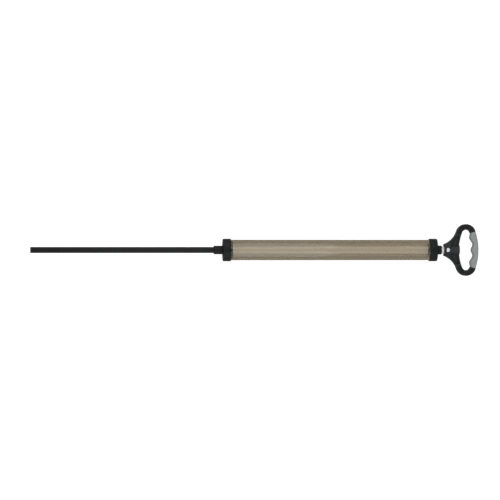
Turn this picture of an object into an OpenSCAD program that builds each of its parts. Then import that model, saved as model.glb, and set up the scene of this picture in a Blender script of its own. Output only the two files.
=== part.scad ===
// Hand fuel sampler: pulling the D-handle draws fuel up a rigid suction tube into a clear barrel.
// Millimetres. The axis runs along X from the suction tip to the handle, and +Z is up.
// It lies on the flats of its two caps, D-handle flat, with the origin under its middle.

/* [Suction tube] */
// Length of the tube that shows in front of its nut
tube_l = 397.5; // [150:0.5:600]
// Outside diameter of the tube
tube_od = 13.2; // [12:0.1:16]
// Bore of the tube
tube_bore = 9.6; // [5:0.1:10]
// Depth that the tube goes into its nut and socket
tube_seat = 16.5; // [14:0.1:17]
// Amount that the tube's seat is turned down, on the radius
seat_step = 0.25; // [0.2:0.05:0.6]

/* [Tube nut] */
// Length of the compression nut
nut_l = 19.5; // [18.5:0.1:24]
// Wall of the nut over the stub
nut_wall = 1.1; // [1:0.1:3]
// Thickness of the nut's end wall
nut_end = 1.5; // [1:0.1:2.5]
// Number of grip flutes round the nut
nut_flutes = 16; // [8:1:20]
// Wall of the stub that the nut screws on
stub_wall = 1.7; // [1.2:0.05:3]

/* [Barrel] */
// Outside diameter of the barrel
barrel_od = 44.45; // [40:0.05:60]
// Wall of the barrel
barrel_wall = 3.2; // [2.5:0.1:4]
// Length of the barrel
barrel_l = 453.5; // [200:0.5:700]

/* [Caps] */
// Wall of the caps over the barrel
cap_wall = 2.25; // [1.5:0.05:5]
// Thickness of the caps' end walls
cap_end = 3; // [2.2:0.1:5]
// Length of the caps
cap_l = 17.3; // [16.5:0.1:19]
// Radius of the caps' outer edge
cap_edge = 2; // [0.8:0.1:2]
// Width of the flats that the caps rest on
cap_flat = 8.6; // [4:0.1:14]
// Diameter of each vent hole in the top cap
vent_d = 2.4; // [1:0.1:2.8]

/* [Heads] */
// Thickness of the flanges that the caps clamp
flange_t = 3; // [2:0.1:5]
// Thickness of the gaskets
gasket_t = 1.5; // [1:0.1:2.5]
// Length of the bottom head inside the barrel
head_l = 1.2; // [0.8:0.1:3]
// Length of the rod guide inside the barrel
guide_l = 9.9; // [9:0.1:20]
// Thickness of the bumper under the rod guide
bumper_t = 3; // [2:0.1:6]
// Wall of the bearing bush
bush_wall = 2.4; // [1.5:0.1:2.6]
// Length of the bearing bush
bush_l = 8; // [6:0.1:8.5]
// Length of the gland nut's collar
collar_l = 8.3; // [5:0.1:14]
// Wall of the gland nut's collar
collar_wall = 1.4; // [1.2:0.1:2]
// Gap between the top cap and the gland nut's collar
collar_gap = 2; // [1:0.1:4]

/* [Piston and rod] */
// Length of the piston
piston_l = 12.6; // [12.6:0.1:24]
// Thickness of the piston's web round the stud
piston_web = 5; // [4:0.1:5.2]
// Outside diameter of the rod
rod_od = 15.9; // [15.5:0.1:19.1]
// Wall of the rod
rod_wall = 2; // [1:0.1:2.5]
// Diameter of the stud that holds the piston
stud_d = 8; // [6:0.5:8]
// Thickness of the two washers
washer_t = 1.2; // [0.8:0.1:1.5]
// Thickness of the lock nut
lock_nut_t = 5; // [4:0.1:5]
// Cord diameter of every O-ring
o_ring_d = 2.6; // [2:0.1:3]

/* [Handle] */
// Gap between the gland nut and the handle when the piston is home
handle_gap = 5; // [1:0.1:20]
// Height of the hub at its flat end
hub_w = 25.4; // [23:0.1:28]
// Length of the thick hub block
hub_l = 14.2; // [13.5:0.1:16]
// Diameter of the boss round the rod
boss_od = 22; // [21:0.1:24]
// Length of the boss
boss_l = 34.3; // [33.2:0.1:37.2]
// Distance of the lobes' centres from the hub's flat end
lobe_x = 48.4; // [47.2:0.1:55.2]
// Distance of each lobe's centre from the axis
lobe_y = 34.9; // [32:0.1:42]
// Outer radius of the two lobes
lobe_r = 21.6; // [20:0.1:26]
// Width of the ring, seen flat
ring_w = 12.2; // [11.2:0.1:13]
// Thickness of the ring
ring_t = 18; // [14:0.1:20]
// Thickness of the web between the boss and the ring
web_t = 6; // [4:0.1:10]
// Radius of the hollow flare between the hub and a lobe
flare_r = 44; // [40:0.1:50]
// Distance that the grip's back stands out beyond the lobes
grip_back = 5.9; // [4:0.1:9]
// Thickness of the soft grip
grip_t = 24; // [18:0.1:30]
// Height of the finger waves
finger_wave = 2.3; // [0.5:0.1:2.5]
// Distance between the finger waves
finger_pitch = 25.6; // [22:0.1:28]
// Diameter of the bolt through the hub
bolt_d = 5; // [4:0.1:6]
// Diameter of the bolt's heads
bolt_head_d = 8.7; // [8:0.1:10]

/* [Hidden] */
$fn = 96;

// Clearances
seat_gap = 0.05;      // pieces pressed or bonded together
screw_gap = 0.1;      // pieces that screw together
slip_gap = 0.1;       // heads in the barrel
cap_gap = 0.15;       // caps over the barrel
run_gap = 0.06;       // rod in its bush, and stud in the piston
piston_gap = 0.2;     // piston in the barrel
neck_gap = 0.35;      // rod in the gland nut and the bumper
swivel_gap = 0.1;     // washers either side of the piston's web
home_gap = 0.4;       // piston from the bottom head when it is home

// Suction tube, its socket and its nut
tube_r = tube_od / 2;
tube_bore_r = tube_bore / 2;
head_bore_r = tube_bore_r - 0.3;
seat_r = tube_r - seat_step;
socket_r = seat_r + seat_gap;
stub_r = socket_r + stub_wall;
nut_bore_r = stub_r + screw_gap;
nut_r = nut_bore_r + nut_wall;
nut_gap = 0.3;
nut_bevel = 1;
ferrule_lip = 1.4;
ferrule_cone = 2.6;
ferrule_edge = 0.3;
seal_t = 1.4;
flute_r = 0.55;
flute_end = 2.6;

// Barrel, heads and caps
barrel_r = barrel_od / 2;
bore_r = barrel_r - barrel_wall;
spigot_r = bore_r - slip_gap;
flange_r = barrel_r - slip_gap;
cap_bore_r = barrel_r + cap_gap;
cap_r = cap_bore_r + cap_wall;
mouth = 0.4;
stub_hole_r = stub_r + cap_gap;
funnel_r = bore_r - 5;
funnel_l = 4;
thread_n = 3;
thread_start = 2.2;
thread_pitch = 2.5;
thread_w = 1.7;
thread_d = 0.7;
thread_flank = 0.4;

// O-rings that sit in the heads and the piston, against the barrel's bore
o_ring_mid = bore_r - seat_gap - o_ring_d / 2;
groove_floor = bore_r - 2 * seat_gap - o_ring_d;
groove_w = o_ring_d + 0.3;
guide_groove = 5.2;

// Rod, bush, packing and gland nut
rod_r = rod_od / 2;
rod_bore_r = rod_r - rod_wall;
bush_bore_r = rod_r + run_gap;
bush_r = bush_bore_r + bush_wall;
gland_bore_r = rod_r + neck_gap;
collar_r = gland_bore_r + collar_wall;
shank_r = collar_r - 0.5;
shank_bore_r = shank_r + screw_gap;
boss_r = shank_bore_r + 1.5;
boss_hole_r = boss_r + cap_gap;
packing_t = 3;
collar_bevel = 0.9;
bumper_r = bush_r + 1.4;
vent_r = (bumper_r + groove_floor) / 2;
vents = 3;

// Piston stack
piston_r = bore_r - piston_gap;
recess_r = lock_nut_r(13) + 1.3;
recess_l = piston_l - piston_web;
stud_r = stud_d / 2;
stud_tip = 0.8;
stud_l = washer_t + swivel_gap + piston_web + swivel_gap + washer_t + lock_nut_t + stud_tip;
shoulder_t = 2;
plug_l = 20;
rear_washer_r = rod_r;
front_washer_r = recess_r - 0.9;
band_w = 2;
band_depth = 1.2;
seal_inset = 3.2;

// Places along the axis, from the suction tip
nut_x = tube_l;
cap_x = nut_x + nut_l + nut_gap;
head_x = cap_x + cap_end;
barrel_x = head_x + flange_t + gasket_t;
head_face_x = barrel_x + head_l;
barrel_end_x = barrel_x + barrel_l;
guide_face_x = barrel_end_x - guide_l;
bumper_x = guide_face_x - bumper_t;
guide_flange_x = barrel_end_x + gasket_t;
top_x = guide_flange_x + flange_t + cap_end;
packing_x = guide_face_x + bush_l + seat_gap;
shank_x = packing_x + packing_t + seat_gap;
collar_x = top_x + collar_gap;
collar_end_x = collar_x + collar_l;
handle_x = collar_end_x + handle_gap;
piston_x = head_face_x + home_gap;
piston_end_x = piston_x + piston_l;
shoulder_x = piston_end_x + swivel_gap + washer_t;
rod_x = shoulder_x + shoulder_t;
rod_seat = boss_l - 4;
rod_end_x = handle_x + rod_seat;
back_x = lobe_x + lobe_r + grip_back;
overall_l = handle_x + back_x;
axis_z = sqrt(cap_r * cap_r - cap_flat * cap_flat / 4);

// Handle outline
lobe_in_r = lobe_r - ring_w;
opening_x = lobe_x - lobe_in_r - 6.7;
opening_pull = lobe_x - opening_x;
opening_r = (opening_pull * opening_pull + lobe_y * lobe_y - lobe_in_r * lobe_in_r)
    / (2 * (opening_pull - lobe_in_r));
opening_mid = [opening_x + opening_r, 0];
inner_flange = 3.4;
rim = 2.5;
pocket_from = 28;
pocket_to = 177;
pockets = 4;
pocket_rib = 8;
pocket_d = 4.5;
web_pocket_top = lobe_y - 4.4;
cut_angle = 14;
cut_reach = 60;
back_r = 128;
core_t = 12;
core_w = 5;
core_depth = 3;
core_h = lobe_y + 7;
finger_x = lobe_x + lobe_in_r + 3.9;
finger_r = 113;
grip_step = 1.6;
grip_edge = 4;
bolt_x = 8.4;
bolt_r = bolt_d / 2;
bolt_bore_r = bolt_r + seat_gap;
bolt_head_r = bolt_head_d / 2;
bolt_head_h = 2;
bolt_thread_r = bolt_r - 0.9;
bolt_sleeve_l = boss_od - 4;
bolt_screw_l = boss_od - 6;
slot_w = 1.1;
slot_d = 0.9;
flare = meet([0, hub_w / 2], flare_r, [lobe_x, lobe_y], flare_r + lobe_r);
tangent = flare + ([lobe_x, lobe_y] - flare) * flare_r / (flare_r + lobe_r);
opening_top = lobe_y * opening_r / (opening_r - lobe_in_r) - 0.3;

// Colours
black = "#232425";
soft_grey = "#8a8e8d";
steel = "#c9cbcc";
tan = "#b9ab8b";
rubber = "#141414";

// Corner radius of a hexagon nut from its width across flats
function lock_nut_r(flats) = flats / 2 / cos(30);

// Upper left crossing of two circles, for the centre of an arc that meets both
function meet(a, ra, b, rb) =
    let (d = norm(b - a), k = (d * d + ra * ra - rb * rb) / (2 * d), u = (b - a) / d)
    a + u * k + [-u[1], u[0]] * sqrt(ra * ra - k * k);

// Points of an arc about [cx, cy], in degrees
function arc(cx, cy, r, from, to, n = 6) =
    [for (i = [0:n]) let (a = from + (to - from) * i / n) [cx + r * cos(a), cy + r * sin(a)]];

// One turned groove or ridge as four points, with its middle at x, walked along by dir
function turn(r_out, r_in, x, half, flank, dir) = [
    [r_out, x - dir * half], [r_in, x - dir * (half - flank)],
    [r_in, x + dir * (half - flank)], [r_out, x + dir * half],
];

function flat(lists) = [for (l = lists) for (p = l) p];
function thread_at(i) = thread_start + i * thread_pitch;
function groove(r, floor, x, w) = [[r, x - w / 2], [floor, x - w / 2], [floor, x + w / 2], [r, x + w / 2]];

// Front edge of the grip, with its finger waves
function finger_edge(y) =
    finger_x - y * y / (2 * finger_r) - finger_wave * cos(360 * y / finger_pitch);

// A turned piece: points are [radius, distance along the axis], and x is where its distances start
module turned(x, points) {
    translate([x - overall_l / 2, 0, axis_z])
        rotate([0, 90, 0])
            rotate_extrude() polygon(points);
}

module along(x) {
    translate([x - overall_l / 2, 0, axis_z]) children();
}

module bar(x, l, r) {
    along(x) rotate([0, 90, 0]) cylinder(h = l, r = r);
}

module o_ring(x) {
    color(rubber) along(x) rotate([0, 90, 0])
        rotate_extrude() translate([o_ring_mid, 0]) circle(d = o_ring_d, $fn = 32);
}

module washer(x, t, r_out, r_in) {
    turned(x, [[r_in, 0], [r_out, 0], [r_out, t], [r_in, t]]);
}

module suction_tube() {
    tip = 0.6;
    color(black) turned(0, [
        [tube_bore_r, 0], [tube_r - tip, 0], [tube_r, tip], [tube_r, tube_l - seat_gap],
        [seat_r, tube_l - seat_gap], [seat_r, tube_l + tube_seat],
        [tube_bore_r, tube_l + tube_seat],
    ]);
}

module tube_nut() {
    hole_r = seat_r + screw_gap;
    color(black) difference() {
        turned(nut_x, [
            [hole_r, 0], [nut_r - nut_bevel, 0], [nut_r, nut_bevel], [nut_r, nut_l - nut_bevel],
            [nut_r - nut_bevel, nut_l], [nut_bore_r, nut_l], [nut_bore_r, nut_end],
            [hole_r, nut_end],
        ]);
        for (i = [0:nut_flutes - 1])
            along(nut_x + flute_end)
                rotate([i * 360 / nut_flutes, 0, 0])
                    translate([0, 0, nut_r + flute_r / 3])
                        rotate([0, 90, 0]) cylinder(h = nut_l - 2 * flute_end, r = flute_r, $fn = 24);
    }
}

// The ferrule's cone seats in the mouth of the stub, which has the same slope
module tube_ferrule() {
    color(tan) turned(nut_x + nut_end + seat_gap, [
        [socket_r, 0], [stub_r - seat_gap, 0], [stub_r - seat_gap, ferrule_lip],
        [socket_r + ferrule_edge, ferrule_lip + ferrule_cone],
        [socket_r, ferrule_lip + ferrule_cone],
    ]);
}

module tube_seal() {
    color(rubber) washer(tube_l + tube_seat + seat_gap, seal_t, seat_r - seat_gap, tube_bore_r + 0.2);
}

module bottom_head() {
    mouth_x = nut_x + nut_end + ferrule_lip + 3 * seat_gap - head_x;
    socket_x = tube_l + tube_seat + 2 * seat_gap + seal_t - head_x;
    spigot_x = flange_t + gasket_t;
    end_x = spigot_x + head_l;
    color(black) turned(head_x, flat([
        [[socket_r + ferrule_edge, mouth_x + ferrule_cone], [stub_r - seat_gap, mouth_x]],
        [[stub_r, mouth_x]],
        [[stub_r, 0], [flange_r, 0], [flange_r, flange_t], [spigot_r, flange_t]],
        [[spigot_r, end_x - 0.6], [spigot_r - 0.6, end_x], [funnel_r, end_x]],
        [[head_bore_r, end_x - funnel_l], [head_bore_r, socket_x], [socket_r, socket_x]],
        [[socket_r, mouth_x + ferrule_cone]],
    ]));
}

// Half outline of a cap from its end wall, with its thread, for a hole of radius hole_r
function cap_outline(hole_r) =
    let (skirt_x = cap_end + flange_t + gasket_t)
    flat([
        [[hole_r, 0]],
        arc(cap_r - cap_edge, cap_edge, cap_edge, -90, 0),
        [[cap_r, cap_l - mouth], [cap_r - mouth, cap_l], [cap_bore_r, cap_l]],
        flat([for (i = [thread_n - 1:-1:0]) turn(
            cap_bore_r, barrel_r - thread_d + screw_gap, skirt_x + thread_at(i),
            thread_w / 2 - screw_gap, thread_flank, -1
        )]),
        [[cap_bore_r, cap_end], [hole_r, cap_end]],
    ]);

// A cap with its open end towards +X, and its flats above and below
module cap(hole_r) {
    intersection() {
        rotate([0, 90, 0]) rotate_extrude() polygon(cap_outline(hole_r));
        translate([cap_l / 2, 0, 0]) cube([2 * cap_l, 2 * cap_r + 1, 2 * axis_z], center = true);
    }
}

module bottom_cap() {
    color(black) along(cap_x) cap(stub_hole_r);
}

module gasket(x) {
    color(rubber) washer(x, gasket_t, barrel_r - slip_gap, bore_r + slip_gap);
}

module barrel_tube() {
    edge = 0.4;
    color("#9b9079", 0.55) turned(barrel_x, flat([
        [[bore_r, 0], [barrel_r - edge, 0], [barrel_r, edge]],
        flat([for (i = [0:thread_n - 1]) turn(
            barrel_r, barrel_r - thread_d, thread_at(i), thread_w / 2, thread_flank, 1
        )]),
        flat([for (i = [thread_n - 1:-1:0]) turn(
            barrel_r, barrel_r - thread_d, barrel_l - thread_at(i), thread_w / 2, thread_flank, 1
        )]),
        [[barrel_r, barrel_l - edge], [barrel_r - edge, barrel_l], [bore_r, barrel_l]],
    ]));
}

module vent_holes(x, l) {
    for (i = [0:vents - 1])
        along(x)
            rotate([i * 360 / vents, 0, 0])
                translate([0, 0, vent_r])
                    rotate([0, 90, 0]) cylinder(h = l, d = vent_d, $fn = 24);
}

// The guide's spigot, flange and boss, bored for the bush, the packing and the gland nut
module rod_guide() {
    flange_x = guide_l + gasket_t;
    color(black) difference() {
        turned(guide_face_x, flat([
            [[bush_r + seat_gap, 0], [spigot_r - 0.6, 0], [spigot_r, 0.6]],
            groove(spigot_r, groove_floor, guide_l - guide_groove, groove_w),
            [[spigot_r, flange_x], [flange_r, flange_x], [flange_r, flange_x + flange_t]],
            [[boss_r, flange_x + flange_t], [boss_r, top_x - guide_face_x]],
            [[shank_bore_r, top_x - guide_face_x], [shank_bore_r, bush_l + seat_gap / 2]],
            [[bush_r + seat_gap, bush_l + seat_gap / 2]],
        ]));
        vent_holes(guide_face_x - 1, guide_l + gasket_t + flange_t + 2);
    }
}

module guide_bush() {
    color("#e6e2d6") washer(guide_face_x, bush_l, bush_r, bush_bore_r);
}

module rod_packing() {
    color("#4a4a46") washer(packing_x, packing_t, shank_bore_r - seat_gap, bush_bore_r);
}

module top_bumper() {
    color(rubber) washer(bumper_x, bumper_t, bumper_r, gland_bore_r);
}

module top_cap() {
    color(black) difference() {
        along(top_x) mirror([1, 0, 0]) cap(boss_hole_r);
        vent_holes(top_x - cap_end - 1, cap_end + 2);
    }
}

module gland_nut() {
    collar = collar_x - shank_x;
    end = collar_end_x - shank_x;
    color(black) turned(shank_x, [
        [gland_bore_r, 0], [shank_r, 0], [shank_r, collar], [collar_r - collar_bevel, collar],
        [collar_r, collar + collar_bevel], [collar_r, end - collar_bevel],
        [collar_r - collar_bevel, end], [gland_bore_r, end],
    ]);
}

module piston_body() {
    band_x = piston_l / 2;
    color(black) turned(piston_x, flat([
        [[recess_r, 0], [piston_r - 0.5, 0], [piston_r, 0.5]],
        groove(piston_r, groove_floor, seal_inset, groove_w),
        groove(piston_r, piston_r - band_depth, band_x, band_w + 2 * seat_gap),
        groove(piston_r, groove_floor, piston_l - seal_inset, groove_w),
        [[piston_r, piston_l - 0.5], [piston_r - 0.5, piston_l], [stud_r + run_gap, piston_l]],
        [[stud_r + run_gap, recess_l], [recess_r, recess_l]],
    ]));
}

module piston_wear_band() {
    color("#efece2") washer(
        piston_x + (piston_l - band_w) / 2, band_w,
        bore_r - seat_gap, piston_r - band_depth + seat_gap
    );
}

module piston_rod() {
    color(steel) difference() {
        turned(rod_x, [
            [rod_bore_r, 0], [rod_r, 0], [rod_r, rod_end_x - rod_x], [rod_bore_r, rod_end_x - rod_x],
        ]);
        bolt_bore();
    }
}

module rod_end_plug() {
    stud_x = shoulder_x - stud_l;
    color(steel) union() {
        bar(stud_x, stud_l + shoulder_t / 2, stud_r);
        bar(shoulder_x, shoulder_t, rod_r);
        bar(rod_x - shoulder_t / 2, plug_l + shoulder_t / 2, rod_bore_r - seat_gap);
    }
}

module front_washer() {
    color(steel) washer(
        piston_x + recess_l - swivel_gap - washer_t, washer_t, front_washer_r, stud_r + seat_gap
    );
}

module lock_nut() {
    x = piston_x + recess_l - swivel_gap - washer_t - lock_nut_t;
    color(steel) difference() {
        along(x) rotate([0, 90, 0]) cylinder(h = lock_nut_t, r = lock_nut_r(13), $fn = 6);
        bar(x - 1, lock_nut_t + 2, stud_r + seat_gap);
    }
}

module rear_washer() {
    color(steel) washer(shoulder_x - washer_t, washer_t, rear_washer_r, stud_r + seat_gap);
}

module bolt_bore() {
    along(handle_x + bolt_x) cylinder(h = 2 * boss_od, r = bolt_bore_r, center = true);
}

// Handle outlines, seen flat, with the hub's flat end at x = 0
module handle_outline() {
    difference() {
        union() {
            polygon([
                [0, -hub_w / 2], [0, hub_w / 2], tangent, [lobe_x, lobe_y], [lobe_x + lobe_r, lobe_y],
                [lobe_x + lobe_r, -lobe_y], [lobe_x, -lobe_y], [tangent[0], -tangent[1]],
            ]);
            for (side = [-1, 1]) translate([lobe_x, side * lobe_y]) circle(lobe_r);
        }
        for (side = [-1, 1]) translate([flare[0], side * flare[1]]) circle(flare_r);
    }
}

module opening_outline() {
    edge = [[opening_x - 1, opening_top], [lobe_x, opening_top], [lobe_x + lobe_in_r, lobe_y]];
    for (side = [-1, 1]) translate([lobe_x, side * lobe_y]) circle(lobe_in_r);
    intersection() {
        polygon(concat(edge, [for (i = [2:-1:0]) [edge[i][0], -edge[i][1]]]));
        translate(opening_mid) circle(opening_r);
    }
}

// The stretch of the D that the soft grip takes, between a cut through each lobe
module grip_stretch() {
    reach = [cut_reach * cos(cut_angle), cut_reach * sin(cut_angle)];
    polygon([
        [lobe_x, lobe_y], [lobe_x + reach[0], lobe_y + reach[1]],
        [lobe_x + reach[0], -lobe_y - reach[1]], [lobe_x, -lobe_y],
    ]);
}

// Grip outline, drawn in by inset along its front and back
module grip_outline(inset) {
    h = lobe_y + lobe_r / 2;
    n = 48;
    intersection() {
        translate([back_x - back_r, 0]) circle(back_r - inset);
        polygon(concat(
            [for (i = [0:n]) let (y = -h + 2 * h * i / n) [finger_edge(y) + inset, y]],
            [[back_x + 1, h], [back_x + 1, -h]]
        ));
        grip_stretch();
    }
}

// The bar through the grip, which runs along its back and into both lobes
module core(gap) {
    r = back_r - core_depth;
    translate([0, 0, -core_t / 2 - gap]) linear_extrude(core_t + 2 * gap) intersection() {
        difference() {
            translate([back_x - back_r, 0]) circle(r + gap);
            translate([back_x - back_r, 0]) circle(r - core_w - gap);
        }
        translate([lobe_x, -core_h]) square([2 * lobe_r, 2 * core_h]);
    }
}

module web_pocket() {
    difference() {
        translate([hub_l + 0.5, -1]) square([opening_x - hub_l + 3, web_pocket_top + 1]);
        translate(flare) circle(flare_r + rim);
        translate(opening_mid) circle(opening_r + inner_flange);
    }
}

module ring_pockets() {
    step = (pocket_to - pocket_from + pocket_rib) / pockets;
    for (i = [0:pockets - 1])
        translate([lobe_x, lobe_y])
            rotate([0, 0, pocket_from + i * step])
                rotate_extrude(angle = step - pocket_rib)
                    translate([lobe_in_r + rim, 0]) square([ring_w - 2 * rim, pocket_d + 1]);
}

module handle_pockets() {
    for (face = [0, 1], side = [0, 1])
        mirror([0, 0, face]) mirror([0, side, 0]) {
            translate([0, 0, web_t / 2]) linear_extrude(ring_t) web_pocket();
            translate([0, 0, ring_t / 2 - pocket_d]) ring_pockets();
        }
}

module handle_body() {
    color(black) difference() {
        along(handle_x) {
            difference() {
                linear_extrude(ring_t, center = true) difference() {
                    handle_outline();
                    opening_outline();
                    grip_stretch();
                }
                handle_pockets();
            }
            linear_extrude(boss_od, center = true) intersection() {
                handle_outline();
                translate([0, -hub_w]) square([hub_l, 2 * hub_w]);
            }
            rotate([0, 90, 0]) cylinder(h = boss_l, d = boss_od);
            core(0);
        }
        bar(handle_x - 1, rod_seat + 1.1, rod_r + seat_gap);
        bolt_bore();
    }
}

module grip_pad() {
    color(soft_grey) along(handle_x) difference() {
        for (layer = [[grip_t - 2 * grip_edge, 0], [grip_t, grip_step]])
            linear_extrude(layer[0], center = true) grip_outline(layer[1]);
        core(seat_gap);
    }
}

// A domed head that stands on the hub's face at z = 0
module dome_head() {
    dome_r = (bolt_head_r * bolt_head_r + bolt_head_h * bolt_head_h) / (2 * bolt_head_h);
    intersection() {
        translate([0, 0, bolt_head_h - dome_r]) sphere(dome_r);
        cylinder(h = bolt_head_h + 1, r = bolt_head_r);
    }
}

module handle_bolt_sleeve() {
    color(steel) along(handle_x + bolt_x) difference() {
        union() {
            translate([0, 0, boss_od / 2]) dome_head();
            translate([0, 0, boss_od / 2 - bolt_sleeve_l]) cylinder(h = bolt_sleeve_l + 0.5, r = bolt_r);
        }
        translate([0, 0, boss_od / 2 - bolt_sleeve_l - 1])
            cylinder(h = bolt_sleeve_l - 1, r = bolt_thread_r + seat_gap);
    }
}

module handle_bolt_screw() {
    color(steel) along(handle_x + bolt_x) mirror([0, 0, 1]) difference() {
        union() {
            translate([0, 0, boss_od / 2]) dome_head();
            translate([0, 0, boss_od / 2 - bolt_screw_l])
                cylinder(h = bolt_screw_l + 0.5, r = bolt_thread_r);
        }
        translate([-bolt_head_r, -slot_w / 2, boss_od / 2 + bolt_head_h - slot_d])
            cube([2 * bolt_head_r, slot_w, slot_d + 1]);
    }
}

suction_tube();
tube_nut();
tube_ferrule();
tube_seal();
bottom_cap();
bottom_head();
gasket(head_x + flange_t);  // bottom_gasket
barrel_tube();
gasket(barrel_end_x);  // top_gasket
rod_guide();
o_ring(barrel_end_x - guide_groove);  // guide_o_ring
guide_bush();
rod_packing();
top_bumper();
top_cap();
gland_nut();
piston_body();
o_ring(piston_x + seal_inset);  // piston_seal_front
piston_wear_band();
o_ring(piston_end_x - seal_inset);  // piston_seal_rear
piston_rod();
rod_end_plug();
front_washer();
lock_nut();
rear_washer();
handle_body();
grip_pad();
handle_bolt_sleeve();
handle_bolt_screw();
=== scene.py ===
# %% [markdown]
# # A hand fuel sampler
#
# A person draws fuel up a long black suction tube by pulling a D-handle, and the fuel is
# then seen in a smoked clear barrel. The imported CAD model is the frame: it gives every
# place and size, and this lesson gives the pieces their finished shapes and surfaces.

# %% Load the frame
import math

import bmesh
import bpy
from mathutils import Matrix, Vector


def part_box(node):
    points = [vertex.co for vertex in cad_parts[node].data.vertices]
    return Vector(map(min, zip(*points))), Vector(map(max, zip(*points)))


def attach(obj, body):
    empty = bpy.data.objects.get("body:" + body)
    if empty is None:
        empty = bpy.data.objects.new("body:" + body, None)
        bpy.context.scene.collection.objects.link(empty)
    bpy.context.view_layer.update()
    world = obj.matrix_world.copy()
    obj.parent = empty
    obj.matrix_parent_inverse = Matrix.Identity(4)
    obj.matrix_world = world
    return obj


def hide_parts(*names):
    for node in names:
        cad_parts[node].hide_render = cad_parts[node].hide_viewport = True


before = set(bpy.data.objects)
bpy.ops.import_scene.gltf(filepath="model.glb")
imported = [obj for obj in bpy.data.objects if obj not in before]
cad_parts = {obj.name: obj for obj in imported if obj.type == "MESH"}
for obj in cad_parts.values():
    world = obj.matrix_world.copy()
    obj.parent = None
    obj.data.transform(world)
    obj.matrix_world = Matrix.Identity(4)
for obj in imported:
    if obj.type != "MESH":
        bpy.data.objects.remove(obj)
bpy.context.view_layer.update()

# %% [markdown]
# ## Places
#
# Everything turned on a lathe shares one axis along X. Its height, and where each piece
# starts and ends, come from the boxes of the CAD nodes, so that a change in the CAD
# carries through to the finished pieces.

# %% Measure the nodes, in millimetres
MM = 0.001


def span(node):
    low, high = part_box(node)
    return low / MM, high / MM


def start(node):
    return span(node)[0].x


def end(node):
    return span(node)[1].x


def radius(node):
    low, high = span(node)
    return (high.y - low.y) / 2


AXIS_Z = (span("handle_body")[0].z + span("handle_body")[1].z) / 2
print("axis height", round(AXIS_Z, 3), "mm, barrel from", round(start("barrel_tube"), 1),
      "to", round(end("barrel_tube"), 1))

# %% [markdown]
# ## Materials: two helpers
#
# A maker picks colours on a screen as sRGB hex values, and Blender mixes light in linear
# values, so one function converts them. A second one adds a node to any tree, with its
# settings and whatever feeds its sockets, and the trees below are all written with it.
# What feeds a socket is a plain value, another socket, or a whole node, which then stands
# for the first of its outputs that is in use.

# %% Colour and node helpers
MATH, NOISE = "ShaderNodeMath", "ShaderNodeTexNoise"


def linear(hex_colour):
    channels = [int(hex_colour[i:i + 2], 16) / 255 for i in (1, 3, 5)]
    return tuple(
        c / 12.92 if c <= 0.04045 else ((c + 0.055) / 1.055) ** 2.4 for c in channels
    ) + (1.0,)


def add(tree, kind, inputs=None, **settings):
    node = tree.nodes.new(kind)
    for name, value in settings.items():
        setattr(node, name, value)
    for name, value in (inputs or {}).items():
        if isinstance(value, bpy.types.Node):
            value = next(socket for socket in value.outputs if socket.enabled)
        if isinstance(value, bpy.types.NodeSocket):
            tree.links.new(value, node.inputs[name])
        else:
            node.inputs[name].default_value = value
    return node


def new_finish(name):
    """A material, its empty tree, and the place of each point on the piece."""
    finish = bpy.data.materials.new(name)
    finish.use_nodes = True
    tree = finish.node_tree
    tree.nodes.clear()
    return finish, tree, add(tree, "ShaderNodeTexCoord").outputs["Object"]


print("helpers ready: sRGB #808080 is", round(linear("#808080")[0], 3), "in linear light")

# %% [markdown]
# ## Moulded and extruded black nylon
#
# The nut, caps, heads and handle are moulded in black glass-filled nylon against a tool
# with a fine spark-eroded texture. To the eye that is a near-black colour, a broken satin
# shine and a fine grain. The grain is about 0.3 mm on the real one, and it is drawn at
# 0.5 mm so that it shows. Slow noise, 22 mm wide, makes the shine uneven, as handling does.
# The suction tube is the same black, but it was pushed through a die, which leaves faint
# lines along its length and a smoother, glossier skin. The handle has the coarsest texture,
# and its grey is painted lighter than the other mouldings: painted light, for the brighter light on
# its faces.

# %% Black finishes
def black_nylon(name, colour, worn_colour, grain, shine, bump, stretch=1.0):
    finish, tree, place = new_finish(name)
    along = add(tree, "ShaderNodeMapping", {"Vector": place, "Scale": (stretch, 1, 1)})
    texture = add(tree, NOISE, {
        "Vector": along, "Scale": 1 / (grain * MM), "Detail": 3.0, "Roughness": 0.6})
    handling = add(tree, NOISE, {"Vector": place, "Scale": 1 / (22 * MM), "Detail": 4.0})
    tone = add(tree, "ShaderNodeMix", {
        "Factor": add(tree, "ShaderNodeMapRange", {
            "Value": handling, "From Min": 0.4, "From Max": 0.75}),
        "A": linear(colour), "B": linear(worn_colour)}, data_type="RGBA")
    polish = add(tree, MATH, {
        0: handling, 1: 0.18,
        2: add(tree, MATH, {0: texture, 1: 0.1, 2: shine - 0.14},
               operation="MULTIPLY_ADD")}, operation="MULTIPLY_ADD")
    relief = add(tree, "ShaderNodeBump", {
        "Height": texture, "Strength": 0.5, "Distance": bump * MM})
    skin = add(tree, "ShaderNodeBsdfPrincipled", {
        "Base Color": tone, "Roughness": polish, "Normal": relief, "IOR": 1.53,
        "Specular IOR Level": 0.15})
    add(tree, "ShaderNodeOutputMaterial", {"Surface": skin})
    return finish


moulded_nylon = black_nylon("moulded_glass_filled_nylon", "#111213", "#18191a", 0.5, 0.42, 0.03)
extruded_nylon = black_nylon("extruded_black_nylon", "#0f1011", "#151617", 0.35, 0.34, 0.012, 0.02)
# The handle's lighter grey is painted light: it stands in for the brighter light that falls on the
# handle.
handle_nylon_painted_lighter = black_nylon("handled_glass_filled_nylon", "#252627", "#313233", 0.6, 0.46, 0.04)
print("black finishes:", moulded_nylon.name, extruded_nylon.name, handle_nylon_painted_lighter.name)

# %% [markdown]
# ## Smoked clear barrel
#
# The barrel is an extruded acrylic tube with a smoky amber tint. Light bends at both skins
# of its 3 mm wall, and the tint takes more blue than red out of it on the way, so the
# colour is inside the wall: a clear shader with absorption in its volume, and not a
# coloured skin.

# %% Barrel finish
TINT_PASSED = "#d8c698"
TINT_PER_METRE = 200.0

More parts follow.
